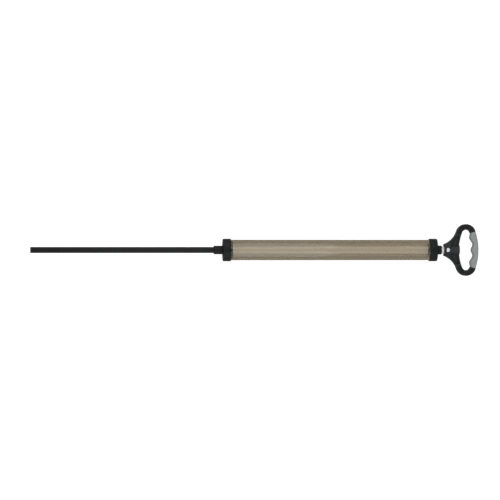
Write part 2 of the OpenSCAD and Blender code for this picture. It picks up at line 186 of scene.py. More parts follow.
smoked_acrylic, tree, place = new_finish("smoked_extruded_acrylic")
along = add(tree, "ShaderNodeMapping", {"Vector": place, "Scale": (0.001, 1, 1)})
die_lines = add(tree, NOISE, {"Vector": along, "Scale": 1 / (3 * MM), "Detail": 2.0})
waviness = add(tree, "ShaderNodeBump", {
    "Height": die_lines, "Strength": 0.12, "Distance": 0.01 * MM})
clear = add(tree, "ShaderNodeBsdfPrincipled", {
    "Base Color": (1, 1, 1, 1), "Roughness": 0.03, "IOR": 1.49, "Transmission Weight": 1.0,
    "Normal": waviness})
tint = add(tree, "ShaderNodeVolumeAbsorption", {
    "Color": linear(TINT_PASSED), "Density": TINT_PER_METRE})
add(tree, "ShaderNodeOutputMaterial", {"Surface": clear, "Volume": tint})
print("barrel finish:", smoked_acrylic.name)

# %% [markdown]
# ## Turned plastics and rubber
#
# The ferrule is turned from natural acetal, a waxy tan plastic on which the tool leaves
# rings. The wear band and the bush are an off-white bearing plastic cut the same way.
# Rings about the axis come from a wave of the distance from it. They are drawn about
# 1.9 mm apart, much coarser than a real tool's, so that they show. The seals are black
# nitrile rubber with a fine dusty bloom, and the packing is greyer and duller.

# %% Turned plastic and rubber finishes
WAVE_UNIT = 6.0    # in mm, and a wave texture repeats every 0.314 of its unit


def two_tone(tree, pattern, colours, shine, bump, ior):
    """A skin with a pattern that mixes two colours and lifts the surface."""
    tone = add(tree, "ShaderNodeMix", {
        "Factor": pattern, "A": linear(colours[0]), "B": linear(colours[1])}, data_type="RGBA")
    relief = add(tree, "ShaderNodeBump", {
        "Height": pattern, "Strength": 0.3, "Distance": bump * MM})
    skin = add(tree, "ShaderNodeBsdfPrincipled", {
        "Base Color": tone, "Roughness": shine, "Normal": relief, "IOR": ior})
    add(tree, "ShaderNodeOutputMaterial", {"Surface": skin})


def turned_plastic(name, colour, ring_colour, shine):
    finish, tree, place = new_finish(name)
    centred = add(tree, "ShaderNodeMapping", {"Vector": place, "Location": (0, 0, -AXIS_Z * MM)})
    rings = add(tree, "ShaderNodeTexWave", {
        "Vector": centred, "Scale": 1 / (WAVE_UNIT * MM), "Distortion": 0.6, "Detail": 1.0},
        wave_type="RINGS", rings_direction="X").outputs["Fac"]
    two_tone(tree, rings, (colour, ring_colour), shine, 0.02, 1.48)
    return finish


def dusty_rubber(name, colour, bloom_colour, shine):
    finish, tree, place = new_finish(name)
    bloom = add(tree, NOISE, {"Vector": place, "Scale": 1 / (1.5 * MM), "Detail": 5.0})
    two_tone(tree, bloom, (colour, bloom_colour), shine, 0.03, 1.52)
    return finish


natural_acetal = turned_plastic("turned_natural_acetal", "#b3a587", "#a79877", 0.38)
bearing_plastic = turned_plastic("turned_bearing_plastic", "#ddd8ca", "#d2ccbc", 0.42)
nitrile_rubber = dusty_rubber("moulded_nitrile_rubber", "#101010", "#1b1b1b", 0.55)
graphited_packing = dusty_rubber("graphited_packing", "#2b2b29", "#3a3a37", 0.7)
print("inner finishes:", natural_acetal.name, bearing_plastic.name, nitrile_rubber.name)

# %% [markdown]
# ## Drawn aluminium and turned stainless steel
#
# The rod is a drawn aluminium tube with a satin skin: pale, with hairlines along its length.
# The bolt, washers and plug are stainless steel from a lathe, with fine rings about the
# axis that they were turned on. Both are fully metallic, and the lines change only the
# roughness and the relief, because a metal has one colour. The hairlines are 0.6 mm wide
# and the rings about 1 mm apart, both coarser than real ones so that they show.

# %% Metal finishes
def metal(name, colour, shine, axis, centre, rings, line):
    finish, tree, place = new_finish(name)
    centred = add(tree, "ShaderNodeMapping", {
        "Vector": place, "Location": [-c * MM for c in centre]})
    if rings:
        lines = add(tree, "ShaderNodeTexWave", {
            "Vector": centred, "Scale": 1 / (10 * line * MM), "Distortion": 0.8, "Detail": 2.0},
            wave_type="RINGS", rings_direction=axis).outputs["Fac"]
    else:
        drawn = add(tree, "ShaderNodeMapping", {
            "Vector": centred, "Scale": [0.01 if letter == axis else 1.0 for letter in "XYZ"]})
        lines = add(tree, NOISE, {"Vector": drawn, "Scale": 1 / (line * MM), "Detail": 3.0})
    polish = add(tree, MATH, {0: lines, 1: 0.14, 2: shine - 0.07}, operation="MULTIPLY_ADD")
    relief = add(tree, "ShaderNodeBump", {
        "Height": lines, "Strength": 0.25, "Distance": 0.008 * MM})
    skin = add(tree, "ShaderNodeBsdfPrincipled", {
        "Base Color": linear(colour), "Metallic": 1.0, "Roughness": polish, "Normal": relief})
    add(tree, "ShaderNodeOutputMaterial", {"Surface": skin})
    return finish


BOLT = [(a + b) / 2 for a, b in zip(*span("handle_bolt_sleeve"))]
drawn_aluminium = metal("drawn_satin_aluminium", "#f2f2f1", 0.85, "X", (0, 0, AXIS_Z), False, 0.6)
turned_stainless = metal("turned_stainless_steel", "#cfd0d1", 0.25, "X", (0, 0, AXIS_Z), True, 0.3)
bolt_stainless = metal("turned_stainless_bolt", "#d6d7d8", 0.16, "Z", BOLT, True, 0.3)
print("metals:", drawn_aluminium.name, turned_stainless.name, bolt_stainless.name)

# %% [markdown]
# ## Soft grip
#
# The grip is a grey thermoplastic elastomer moulded over the handle's bar. It is dull,
# with a fine even grain, a little velvety at grazing angles, and it holds slightly darker
# patches where hands rub it.

# %% Grip finish
soft_elastomer, tree, place = new_finish("soft_touch_elastomer")
grain = add(tree, NOISE, {"Vector": place, "Scale": 1 / (0.6 * MM), "Detail": 3.0})
rubbing = add(tree, NOISE, {"Vector": place, "Scale": 1 / (16 * MM), "Detail": 4.0})
tone = add(tree, "ShaderNodeMix", {
    "Factor": add(tree, "ShaderNodeMapRange", {
        "Value": rubbing, "From Min": 0.35, "From Max": 0.7}),
    "A": linear("#8c908f"), "B": linear("#838786")}, data_type="RGBA")
relief = add(tree, "ShaderNodeBump", {"Height": grain, "Strength": 0.4, "Distance": 0.03 * MM})
skin = add(tree, "ShaderNodeBsdfPrincipled", {
    "Base Color": tone, "Roughness": 0.72, "Normal": relief, "IOR": 1.5,
    "Sheen Weight": 0.1, "Sheen Roughness": 0.5})
add(tree, "ShaderNodeOutputMaterial", {"Surface": skin})
print("grip finish:", soft_elastomer.name)

# %% [markdown]
# ## Turning a piece
#
# Almost every piece here is round, as if from a lathe, so one helper does a lathe's work.
# It takes the half outline of the piece as corners, each with the radius that it is
# rounded to, and spins it about the axis. Rounded corners matter: a real moulding has
# them, and they catch the light as thin bright lines.

# %% A lathe for closed outlines
ROUND = 96


def as_mesh(name, shape):
    mesh = bpy.data.meshes.new(name)
    shape.to_mesh(mesh)
    shape.free()
    return mesh


def stand(name, mesh):
    piece = bpy.data.objects.new(name, mesh)
    bpy.context.scene.collection.objects.link(piece)
    return piece


def soften(corners, steps=5):
    """Corners are (x, r) or (x, r, radius), in order round the closed outline."""
    points = []
    for i, corner in enumerate(corners):
        here = Vector(corner[:2])
        before, after = Vector(corners[i - 1][:2]), Vector(corners[(i + 1) % len(corners)][:2])
        arc = corner[2] if len(corner) > 2 else 0
        to_before, to_after = (before - here).normalized(), (after - here).normalized()
        half = to_before.angle(to_after, math.pi) / 2
        if not arc or half > math.radians(89):
            points.append(here)
            continue
        reach = arc / math.tan(half)
        centre = here + (to_before + to_after).normalized() * arc / math.sin(half)
        first, last = here + to_before * reach - centre, here + to_after * reach - centre
        turn = first.angle_signed(last)
        points += [centre + Matrix.Rotation(-turn * k / steps, 2) @ first for k in range(steps + 1)]
    return points


def turned_mesh(name, corners, around=ROUND, height=None):
    """Corners on the axis, with r = 0, close the piece with a pole."""
    height = AXIS_Z if height is None else height
    shape = bmesh.new()
    rings = []
    for x, r in soften(corners):
        if r < 1e-6:
            rings.append([shape.verts.new((x * MM, 0, height * MM))])
            continue
        angles = [2 * math.pi * k / around for k in range(around)]
        rings.append([shape.verts.new((
            x * MM, r * math.sin(a) * MM, (height + r * math.cos(a)) * MM)) for a in angles])
    for one, two in zip(rings, rings[1:] + rings[:1]):
        if len(one) == 1 and len(two) == 1:
            continue
        for k in range(around):
            n = (k + 1) % around
            quad = [one[k % len(one)], one[n % len(one)], two[n % len(two)], two[k % len(two)]]
            shape.faces.new(list(dict.fromkeys(quad)))
    bmesh.ops.recalc_face_normals(shape, faces=shape.faces)
    return as_mesh(name, shape)


def turned(name, corners, **how):
    return stand(name, turned_mesh(name, corners, **how))


def block_mesh(name, size, centre, edge=0.0):
    shape = bmesh.new()
    bmesh.ops.create_cube(shape, size=1)
    bmesh.ops.scale(shape, vec=[length * MM for length in size], verts=shape.verts)
    bmesh.ops.translate(shape, vec=[place * MM for place in centre], verts=shape.verts)
    if edge:
        bmesh.ops.bevel(shape, geom=shape.edges[:], offset=edge * MM, segments=3,
                        affect="EDGES", profile=0.5)
    return as_mesh(name, shape)


print("the lathe turns a piece in", ROUND, "steps unless told otherwise")

# %% [markdown]
# ## Finishing a piece
#
# Every piece ends the same way: its faces are smooth except across real edges, it gets one
# finish, it rides on a body of the frame, and it takes the place of its CAD nodes.


def dress(piece, finish, body, *nodes, crease=32):
    piece.data.materials.clear()
    piece.data.materials.append(finish)
    for face in piece.data.polygons:
        face.use_smooth = True
        face.material_index = 0
    piece.data.set_sharp_from_angle(angle=math.radians(crease))
    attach(piece, body)
    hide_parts(*nodes)
    print(piece.name, "on", body, "with", len(piece.data.polygons), "faces")
    return piece


def settle(piece):
    """Turns a piece and its modifiers into a plain mesh."""
    bpy.context.view_layer.update()
    seen = piece.evaluated_get(bpy.context.evaluated_depsgraph_get())
    mesh = bpy.data.meshes.new_from_object(seen)
    piece.modifiers.clear()
    piece.data = mesh
    return piece


def carve(piece, *tools, operation="DIFFERENCE"):
    for tool in tools:
        step = piece.modifiers.new(tool.name, "BOOLEAN")
        step.operation, step.object, step.solver = operation, tool, "EXACT"
        settle(piece)
        bpy.data.objects.remove(tool)
    return piece


# %% [markdown]
# ## Repeating round a centre
#
# The nut has a ring of grip flutes, the top cap has vents and the handle has ribs on an
# arc. They are all one small shape repeated round a centre, so one geometry node tree does
# it: it sets a point for each copy, turns each copy a step further about an axis, makes
# the copies real and gives them a material.

# %% A node tree that repeats a shape round a centre
def new_tree(name, sockets):
    tree = bpy.data.node_groups.new(name, "GeometryNodeTree")
    tree.interface.new_socket("Geometry", in_out="OUTPUT", socket_type="NodeSocketGeometry")
    for label, kind in sockets:
        tree.interface.new_socket(label, in_out="INPUT", socket_type="NodeSocket" + kind)
    return tree, add(tree, "NodeGroupInput").outputs


def end_tree(tree, geometry, finish):
    solid = add(tree, "GeometryNodeRealizeInstances", {"Geometry": geometry})
    dressed = add(tree, "GeometryNodeSetMaterial", {"Geometry": solid, "Material": finish})
    add(tree, "NodeGroupOutput", {"Geometry": dressed})
    print("tree", tree.name, "with", len(tree.nodes), "nodes")


ring_of, sizes = new_tree("repeat_round_a_centre", [
    ("Shape", "Geometry"), ("Count", "Int"), ("Start", "Float"), ("Step", "Float"),
    ("Axis", "Vector"), ("Centre", "Vector"), ("Finish", "Material")])
places = add(ring_of, "GeometryNodePoints", {
    "Count": sizes["Count"], "Position": sizes["Centre"]})
turn = add(ring_of, MATH, {
    0: add(ring_of, "GeometryNodeInputIndex"), 1: sizes["Step"], 2: sizes["Start"]},
    operation="MULTIPLY_ADD")
copies = add(ring_of, "GeometryNodeInstanceOnPoints", {
    "Points": places, "Instance": sizes["Shape"],
    "Rotation": add(ring_of, "FunctionNodeAxisAngleToRotation", {
        "Axis": sizes["Axis"], "Angle": turn})})
end_tree(ring_of, copies, sizes["Finish"])


def with_tree(piece, tree, **values):
    """Runs a piece through a node tree. The inputs are set by identifier, first of all."""
    step = piece.modifiers.new(tree.name, "NODES")
    step.node_group = tree
    for item in tree.interface.items_tree:
        key = item.name.replace(" ", "_")
        if item.item_type == "SOCKET" and item.in_out == "INPUT" and key in values:
            step[item.identifier] = values[key]
    return settle(piece)


def repeated(name, mesh, count, first, step, axis, centre):
    return with_tree(stand(name, mesh), ring_of, Count=count, Start=math.radians(first),
                     Step=math.radians(step), Axis=axis, Centre=[c * MM for c in centre],
                     Finish=moulded_nylon)


# %% [markdown]
# ## Suction tube
#
# A rigid tube, open at its tip, with a small bevel where it was cut. Its last stretch is
# turned down a little where it enters the nut. Spinning one outline gives the outside,
# the bevel and the bore in one closed mesh.

# %% Suction tube
TUBE_BORE, SEAT_STEP = 4.8, 0.25
GAP, FIT = 0.05, 0.1    # a close and a plain running gap between two pieces
tube_r = radius("suction_tube")
nut_start = start("tube_nut")
tube = turned("suction_tube_extrusion", [
    (start("suction_tube"), TUBE_BORE, 0.3), (start("suction_tube"), tube_r, 0.7),
    (nut_start - GAP, tube_r, 0.1), (nut_start - GAP, tube_r - SEAT_STEP),
    (end("suction_tube"), tube_r - SEAT_STEP), (end("suction_tube"), TUBE_BORE)])
dress(tube, extruded_nylon, "barrel", "suction_tube")

# %% [markdown]
# ## Tube nut
#
# The compression nut squeezes a ferrule on to the tube. It is a turned shape with a bevel
# at both ends and 16 flutes for the fingers, which a ring of round-ended cutters makes.

# %% Tube nut
FLUTES, FLUTE_R, FLUTE_INSET = 16, 0.55, 2.6
BEVEL, NUT_LIP = 0.8, 1.5
nut_r, nut_end = radius("tube_nut"), end("tube_nut")
stub_r = radius("tube_ferrule") + GAP
nut = turned("tube_nut_moulding", [
    (nut_start, tube_r - SEAT_STEP + FIT, 0.2), (nut_start, nut_r - BEVEL, 0.2),
    (nut_start + BEVEL, nut_r, 0.5), (nut_end - BEVEL, nut_r, 0.5), (nut_end, nut_r - BEVEL, 0.2),
    (nut_end, stub_r + FIT, 0.1), (nut_start + NUT_LIP, stub_r + FIT),
    (nut_start + NUT_LIP, tube_r - SEAT_STEP + FIT)])
cutter_r = nut_r + FLUTE_R / 3
cutter = turned_mesh("flute_cutter", [
    (FLUTE_INSET, 0), (FLUTE_INSET, FLUTE_R, FLUTE_R * 0.95),
    (nut_end - nut_start - FLUTE_INSET, FLUTE_R, FLUTE_R * 0.95),
    (nut_end - nut_start - FLUTE_INSET, 0)], around=16, height=cutter_r)
flutes = repeated("nut_flutes", cutter, FLUTES, 360 / FLUTES / 2, 360 / FLUTES, (1, 0, 0),
                  (nut_start, 0, AXIS_Z))
dress(carve(nut, flutes), moulded_nylon, "barrel", "tube_nut")

# %% [markdown]
# ## Caps
#
# Two threaded caps clamp the heads on to the barrel. Both are the same moulding but for
# the hole in the end wall: a cup with a rounded outer edge and a narrow flat above and
# below, on which the sampler lies without rolling. The flat is pressed into the turned
# mesh by holding its points between the floor and the same height above the axis. The top
# cap has three vents, so that the air above the piston can leave.

# %% Caps
CAP_END, CAP_EDGE, CAP_FIT, CAP_ROUND = 3.0, 2.0, 0.15, 144
VENTS, VENT_R, VENT_PLACE, GUIDE_BOSS_R = 3, 1.2, 14.0, 10.8
cap_r = radius("bottom_cap")
barrel_r = radius("barrel_tube")


def cap(name, outer, inner, stub):
    """From the outer face of the end wall to the open end, in either direction along X."""
    way = 1 if inner > outer else -1
    piece = turned(name, [
        (outer, stub + CAP_FIT, 0.3), (outer, cap_r, CAP_EDGE), (inner, cap_r, 0.45),
        (inner, barrel_r + CAP_FIT, 0.2), (outer + way * CAP_END, barrel_r + CAP_FIT),
        (outer + way * CAP_END, stub + CAP_FIT)], around=CAP_ROUND)
    for point in piece.data.vertices:
        point.co.z = min(max(point.co.z, 0.0), 2 * AXIS_Z * MM)
    return piece


def vents(name, first, last):
    """Drills for the vents from one place along X to another."""
    drill = turned_mesh("vent_drill", [
        (0, 0), (0, VENT_R), (last - first, VENT_R), (last - first, 0)],
        around=20, height=VENT_PLACE)
    return repeated(name, drill, VENTS, 0, 360 / VENTS, (1, 0, 0), (first, 0, AXIS_Z))


bottom_cap = cap("bottom_cap_moulding", start("bottom_cap"), end("bottom_cap"), stub_r)
dress(bottom_cap, moulded_nylon, "barrel", "bottom_cap")

top_cap = cap("top_cap_moulding", end("top_cap"), start("top_cap"), GUIDE_BOSS_R)
carve(top_cap, vents("cap_vents", end("top_cap") - CAP_END - 1, end("top_cap") + 1))
dress(top_cap, moulded_nylon, "barrel", "top_cap")

# %% [markdown]
# ## Barrel
#
# An extruded tube, cut square and lightly broken at its edges, with three threads at
# each end inside the caps. It is a closed wall and not one skin, because the bending of
# light depends on both of its surfaces.

# %% Barrel
BARREL_WALL = 3.2
THREADS, THREAD_START, THREAD_PITCH, THREAD_DEPTH = 3, 2.2, 2.5, 0.7
GROOVE_TOP, GROOVE_BASE = 0.85, 0.45    # half widths of a thread's groove
barrel_start, barrel_end = start("barrel_tube"), end("barrel_tube")
bore_r = barrel_r - BARREL_WALL


def threads(edge, way):
    corners = []
    for k in range(THREADS):
        middle = edge + way * (THREAD_START + k * THREAD_PITCH)
        for along, depth in [(-GROOVE_TOP, 0), (-GROOVE_BASE, THREAD_DEPTH),
                             (GROOVE_BASE, THREAD_DEPTH), (GROOVE_TOP, 0)]:
            corners.append((middle + way * along, barrel_r - depth))
    return corners


barrel = turned("barrel_extrusion", [
    (barrel_start, bore_r, 0.2), (barrel_start, barrel_r, 0.4), *threads(barrel_start, 1),
    *reversed(threads(barrel_end, -1)), (barrel_end, barrel_r, 0.4), (barrel_end, bore_r, 0.2)],
    around=160)
dress(barrel, smoked_acrylic, "barrel", "barrel_tube")

# %% [markdown]
# ## Heads
#
# A head closes each end of the barrel. The bottom one carries the suction tube in a stub
# and funnels down to its bore. The top one guides the rod, holds its bush and packing,
# and has the same three vents as the cap, with an O-ring in a groove round it.

# %% Heads
GROOVE_FROM, GROOVE_WIDE, GROOVE_FLOOR = 5.2, 2.9, 16.325
FLANGE_T, HEAD_BORE, FUNNEL_DEPTH, FUNNEL_RIM, DRILL_REACH = 3, 4.5, 4, 5, 17
spigot_r, flange_r = bore_r - FIT, barrel_r - FIT
head_start, head_end = start("bottom_head"), end("bottom_head")
flange_end = start("bottom_gasket")


def groove(middle, way):
    half = way * GROOVE_WIDE / 2
    return [(middle - half, spigot_r, 0.15), (middle - half, GROOVE_FLOOR, 0.2),
            (middle + half, GROOVE_FLOOR, 0.2), (middle + half, spigot_r, 0.15)]


head = turned("bottom_head_moulding", [
    (head_start, HEAD_BORE), (head_start, stub_r, 0.3), (flange_end - FLANGE_T, stub_r),
    (flange_end - FLANGE_T, flange_r, 0.3), (flange_end, flange_r, 0.3),
    (flange_end, spigot_r), (head_end, spigot_r, 0.5), (head_end, bore_r - FUNNEL_RIM, 0.5),
    (head_end - FUNNEL_DEPTH, HEAD_BORE)])
dress(head, moulded_nylon, "barrel", "bottom_head")

guide_start, guide_end = start("rod_guide"), end("rod_guide")
bush_r = radius("guide_bush") + GAP
gland_hole_r = radius("rod_packing") + GAP
guide_flange = end("top_gasket")
guide = turned("rod_guide_moulding", [
    (guide_start, bush_r, 0.2), (guide_start, spigot_r, 0.8),
    *groove(barrel_end - GROOVE_FROM, 1),
    (guide_flange, spigot_r), (guide_flange, flange_r, 0.3),
    (guide_flange + FLANGE_T, flange_r, 0.3), (guide_flange + FLANGE_T, GUIDE_BOSS_R),
    (guide_end, GUIDE_BOSS_R, 0.3), (guide_end, gland_hole_r, 0.2),
    (end("guide_bush"), gland_hole_r), (end("guide_bush"), bush_r)])
carve(guide, vents("guide_vents", guide_start - 1, guide_start + DRILL_REACH))
dress(guide, moulded_nylon, "barrel", "rod_guide")

# %% [markdown]
# ## Gland nut and bumper
#
# The gland nut presses the packing on to the rod. Its collar shows between the cap and the
# handle, with a bevel at both ends. The bumper under the guide stops the piston softly.

# %% Gland nut and bumper
ROD_CLEAR, NECK, COLLAR_LIFT, COLLAR_BEVEL = 0.35, 0.5, 2.0, 0.9
gland_start, gland_end = start("gland_nut"), end("gland_nut")
collar_start = end("top_cap") + COLLAR_LIFT
collar_r = radius("gland_nut")
rod_r = radius("piston_rod")
clear_r = rod_r + ROD_CLEAR
gland = turned("gland_nut_moulding", [
    (gland_start, clear_r, 0.1), (gland_start, collar_r - NECK, 0.2),
    (collar_start, collar_r - NECK), (collar_start, collar_r - COLLAR_BEVEL),
    (collar_start + COLLAR_BEVEL, collar_r, 0.3), (gland_end - COLLAR_BEVEL, collar_r, 0.3),
    (gland_end, collar_r - COLLAR_BEVEL, 0.2), (gland_end, clear_r, 0.2)])
dress(gland, moulded_nylon, "barrel", "gland_nut")

bumper = turned("bumper_ring", [
    (start("top_bumper"), clear_r, 0.4), (start("top_bumper"), radius("top_bumper"), 0.6),
    (end("top_bumper"), radius("top_bumper"), 0.3), (end("top_bumper"), clear_r, 0.2)])
dress(bumper, nitrile_rubber, "barrel", "top_bumper")

# %% [markdown]
# ## Piston, its seals and the rod
#
# The piston is turned with two seal grooves and a band groove, and a recess in front for
# the nut that holds it. The O-rings are a circle spun about the axis. The rod is a thin
# tube that ends inside the handle.

# %% Piston, seals and rod
piston_start, piston_end = start("piston_body"), end("piston_body")
piston_r = radius("piston_body")
SEAL_INSET, BAND_DEPTH, RECESS_R, STUD_HOLE_R = 3.2, 1.2, 8.805, 4.06
CORD_R, CORD_SIDES, ROD_WALL = 1.3, 20, 2.0
band_start, band_end, band_r = (
    start("piston_wear_band"), end("piston_wear_band"), radius("piston_wear_band"))
recess_end = end("front_washer") + FIT


def seal_groove(middle, floor, wide):
    return [(middle - wide / 2, piston_r, 0.1), (middle - wide / 2, floor, 0.1),
            (middle + wide / 2, floor, 0.1), (middle + wide / 2, piston_r, 0.1)]


piston = turned("piston_turning", [
    (piston_start, RECESS_R, 0.3), (piston_start, piston_r, 0.6),
    *seal_groove(piston_start + SEAL_INSET, GROOVE_FLOOR, GROOVE_WIDE),
    *seal_groove((piston_start + piston_end) / 2, piston_r - BAND_DEPTH,
                 band_end - band_start + FIT),
    *seal_groove(piston_end - SEAL_INSET, GROOVE_FLOOR, GROOVE_WIDE),
    (piston_end, piston_r, 0.6), (piston_end, STUD_HOLE_R, 0.2),
    (recess_end, STUD_HOLE_R), (recess_end, RECESS_R, 0.3)])
dress(piston, moulded_nylon, "piston", "piston_body")

wear_band = turned("wear_band_ring", [
    (band_start, piston_r - BAND_DEPTH + GAP), (band_start, band_r, 0.3),
    (band_end, band_r, 0.3), (band_end, piston_r - BAND_DEPTH + GAP)])
dress(wear_band, bearing_plastic, "piston", "piston_wear_band")

for node, body in [("guide_o_ring", "barrel"), ("piston_seal_front", "piston"),
                   ("piston_seal_rear", "piston")]:
    middle = (start(node) + end(node)) / 2
    sides = [2 * math.pi * k / CORD_SIDES for k in range(CORD_SIDES)]
    ring = turned(node + "_ring", [
        (middle + CORD_R * math.cos(a), radius(node) - CORD_R + CORD_R * math.sin(a))
        for a in sides])
    dress(ring, nitrile_rubber, body, node, crease=60)

rod = turned("rod_drawn_tube", [
    (start("piston_rod"), rod_r - ROD_WALL), (start("piston_rod"), rod_r, 0.2),
    (end("piston_rod"), rod_r, 0.2), (end("piston_rod"), rod_r - ROD_WALL)])
dress(rod, drawn_aluminium, "rod", "piston_rod")

# %% [markdown]
# ## Handle body
#
# The D-handle is one moulding: a hub, a half-round boss over the rod, a thin web, and a
# deep rim all round with ribs across its pockets. A mould maker draws such a part flat and
# gives each region its own depth, and the same works here: filled curves hold the flat
# outlines, their bevel rounds every upper and lower edge, and the layers are joined.

# %% Handle sizes and outline points
hub = Vector((start("handle_body"), 0, AXIS_Z))
HUB_W, HUB_L, BOSS_R, BOSS_L = 25.4, 14.2, 11.0, 34.3
LOBE = Vector((48.4, 34.9))
LOBE_R, RING_W, RING_T, WEB_T, RIM = 21.6, 12.2, 18.0, 6.0, 2.5
FLARE_R, FLANGE, HUB_EDGE, EDGE_ROUND, BULGE = 44.0, 3.4, 1.5, 1.2, 6.7
CUT = math.radians(14)
LOBE_IN_R = LOBE_R - RING_W
OPENING_X = LOBE.x - LOBE_IN_R - BULGE
PULL = LOBE.x - OPENING_X
OPENING_R = (PULL ** 2 + LOBE.y ** 2 - LOBE_IN_R ** 2) / (2 * (PULL - LOBE_IN_R))
OPENING_MID = Vector((OPENING_X + OPENING_R, 0))


def meet(a, ra, b, rb):
    """Upper left crossing of two circles."""
    d = (b - a).length
    k = (d * d + ra * ra - rb * rb) / (2 * d)
    u = (b - a) / d
    return a + u * k + Vector((-u.y, u.x)) * math.sqrt(ra * ra - k * k)


def arc(centre, r, first, last, steps):
    return [centre + Vector((math.cos(a), math.sin(a))) * r
            for a in [first + (last - first) * k / steps for k in range(steps + 1)]]


def bearing(centre, point):
    return math.atan2(point[1] - centre.y, point[0] - centre.x)


FLARE = meet(Vector((0, HUB_W / 2)), FLARE_R, LOBE, FLARE_R + LOBE_R)
tangent = FLARE + (LOBE - FLARE) * FLARE_R / (FLARE_R + LOBE_R)
inner_tangent = LOBE + (LOBE - OPENING_MID).normalized() * LOBE_IN_R


def flip(points):
    return [Vector((p.x, -p.y)) for p in reversed(points)]


outer = [Vector((0, HUB_W / 2))] + arc(
    FLARE, FLARE_R, bearing(FLARE, (0, HUB_W / 2)), bearing(FLARE, tangent), 24)[1:]
outer += arc(LOBE, LOBE_R, bearing(LOBE, tangent), CUT, 48)[1:]
inner = arc(LOBE, LOBE_IN_R, CUT, bearing(LOBE, inner_tangent), 32)
side = bearing(OPENING_MID, inner_tangent)
inner += arc(OPENING_MID, OPENING_R, side, math.pi, 24)[1:]
half_outline = outer + inner
body_outline = half_outline + flip(half_outline)[1:]
body_outline = soften([(p.x, p.y, 0 if p.x else HUB_EDGE) for p in body_outline])
print("handle outline of", len(body_outline), "points")

# %% Pocket outlines
POCKET_FROM, POCKET_TO, POCKET_RIB, POCKETS = 28, 177, 8, 4
POCKET_D, POCKET_CORNER, SPINE, SHOULDER, HUB_RIM = 4.5, 0.6, 1.0, 4.4, 0.5
WEB_TOP = LOBE.y - SHOULDER
web_x = HUB_L + HUB_RIM


def eased(outline, r):
    """Rounds the sharp corners of an outline, and leaves the points of its arcs alone."""
    before, after = outline[-1:] + outline[:-1], outline[1:] + outline[:1]
    return soften([(q.x, q.y, r if (q - p).angle(n - q) > math.radians(25) else 0)
                   for p, q, n in zip(before, outline, after)])


def crossing_y(centre, r, x):
    return centre.y - math.sqrt(r * r - (x - centre.x) ** 2)


def crossing_x(centre, r, y, side):
    return centre.x + side * math.sqrt(r * r - (y - centre.y) ** 2)


ring_pocket = eased(
    arc(LOBE, LOBE_R - RIM, math.radians(POCKET_FROM), math.radians(POCKET_TO), 48)
    + arc(LOBE, LOBE_IN_R + RIM, math.radians(POCKET_TO), math.radians(POCKET_FROM), 24),
    POCKET_CORNER)
flare_low = Vector((web_x, crossing_y(FLARE, FLARE_R + RIM, web_x)))
flare_high = Vector((crossing_x(FLARE, FLARE_R + RIM, WEB_TOP, 1), WEB_TOP))
flange_r_in = OPENING_R + FLANGE
flange_high = Vector((crossing_x(OPENING_MID, flange_r_in, WEB_TOP, -1), WEB_TOP))
flange_low = Vector((crossing_x(OPENING_MID, flange_r_in, SPINE, -1), SPINE))
web_pocket = eased(
    [Vector((web_x, SPINE))]
    + arc(FLARE, FLARE_R + RIM, bearing(FLARE, flare_low), bearing(FLARE, flare_high), 16)
    + arc(OPENING_MID, flange_r_in, bearing(OPENING_MID, flange_high),
          bearing(OPENING_MID, flange_low), 16), POCKET_CORNER)
print("web pocket of", len(web_pocket), "points, ring pocket of", len(ring_pocket))

# %% A flat layer with rounded edges
def layer(name, outlines, thick, round_edge=0.0, grow=0.0):
    """The first outline is the edge and the others are holes in it, which run the other way."""
    flat = bpy.data.curves.new(name, "CURVE")
    flat.dimensions, flat.fill_mode = "2D", "BOTH"
    flat.extrude = (thick / 2 - round_edge) * MM
    flat.bevel_depth, flat.bevel_resolution = round_edge * MM, 3
    flat.offset = (grow - round_edge) * MM
    for k, outline in enumerate(outlines):
        area = sum(p.cross(q) for p, q in zip(outline, outline[1:] + outline[:1]))
        points = outline if (area > 0) == (k == 0) else outline[::-1]
        spline = flat.splines.new("POLY")
        spline.points.add(len(points) - 1)
        for slot, p in zip(spline.points, points):
            slot.co = ((hub.x + p.x) * MM, p.y * MM, 0, 1)
        spline.use_cyclic_u = True
    piece = stand(name, flat)
    bpy.context.view_layer.update()
    seen = piece.evaluated_get(bpy.context.evaluated_depsgraph_get())
    mesh = bpy.data.meshes.new_from_object(seen)
    bpy.data.objects.remove(piece)
    shape = bmesh.new()
    shape.from_mesh(mesh)
    bmesh.ops.translate(shape, vec=(0, 0, AXIS_Z * MM), verts=shape.verts)
    bmesh.ops.remove_doubles(shape, verts=shape.verts, dist=1e-6)
    bmesh.ops.recalc_face_normals(shape, faces=shape.faces)
    open_edges = sum(not e.is_manifold for e in shape.edges)
    shape.to_mesh(mesh)
    shape.free()
    print(name, "layer:", len(mesh.polygons), "faces,", open_edges, "open edges")
    return stand(name, mesh)


# %% Handle body
CLEAR = 0.04    # keeps the hub and boss off the rim's own faces
WEB_INSET = 0.8

holes = [web_pocket, flip(web_pocket), ring_pocket, flip(ring_pocket)]
rim_layer = layer("handle_moulding", [body_outline, *holes], RING_T, EDGE_ROUND)
web_layer = layer("handle_web", [body_outline], WEB_T, grow=-WEB_INSET)


def ring_floor(side):
    """It reaches 1 mm into the rim, and a few degrees past the ends of the pockets."""
    shape = (arc(LOBE, LOBE_R - RIM + 1, math.radians(POCKET_FROM - 3),
                 math.radians(POCKET_TO + 2), 48)
             + arc(LOBE, LOBE_IN_R + RIM - 1, math.radians(POCKET_TO + 2),
                   math.radians(POCKET_FROM - 3), 40))
    return layer("ring_floor", [shape if side > 0 else flip(shape)], RING_T - 2 * POCKET_D)


